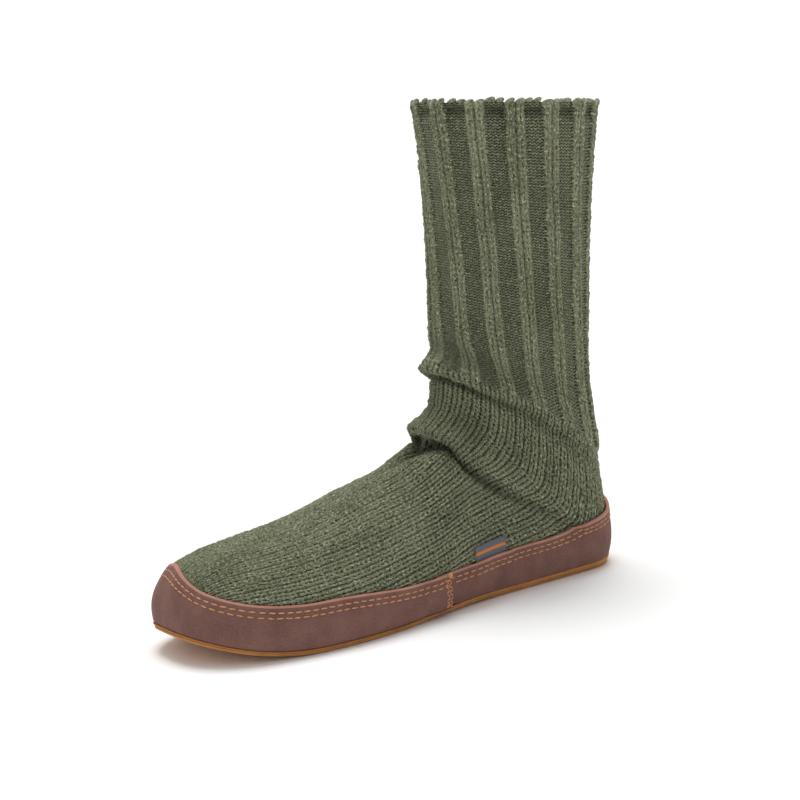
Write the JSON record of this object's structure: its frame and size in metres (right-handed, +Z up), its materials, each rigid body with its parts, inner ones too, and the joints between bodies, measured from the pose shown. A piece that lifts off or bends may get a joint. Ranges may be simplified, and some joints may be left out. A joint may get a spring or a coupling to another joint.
{
  "type": "slipper sock",
  "caption": "Left slipper sock: ribbed knitted wool tube with slack ankle folds, leather rand, suede sole and footbed, standing empty.",
  "frame": {"origin": "on the floor under the middle of the heel, on the sole's flat heel face", "axes": "+Z up, toe toward -Y, outer (left) side toward +X"},
  "size_m": [0.0979, 0.2895, 0.2752],
  "materials": {
    "wool": "chunky ragg wool knit, matte",
    "nubuck": "brown nubuck, matte",
    "suede": "tan suede, napped",
    "foam": "fleece-faced foam",
    "tape": "woven grey tape"
  },
  "bodies": {
    "root": {"upper": "wool", "rand_front": "nubuck", "rand_heel": "nubuck", "outsole": "suede", "insole": "foam", "tag": "tape"}
  },
  "joints": []
}
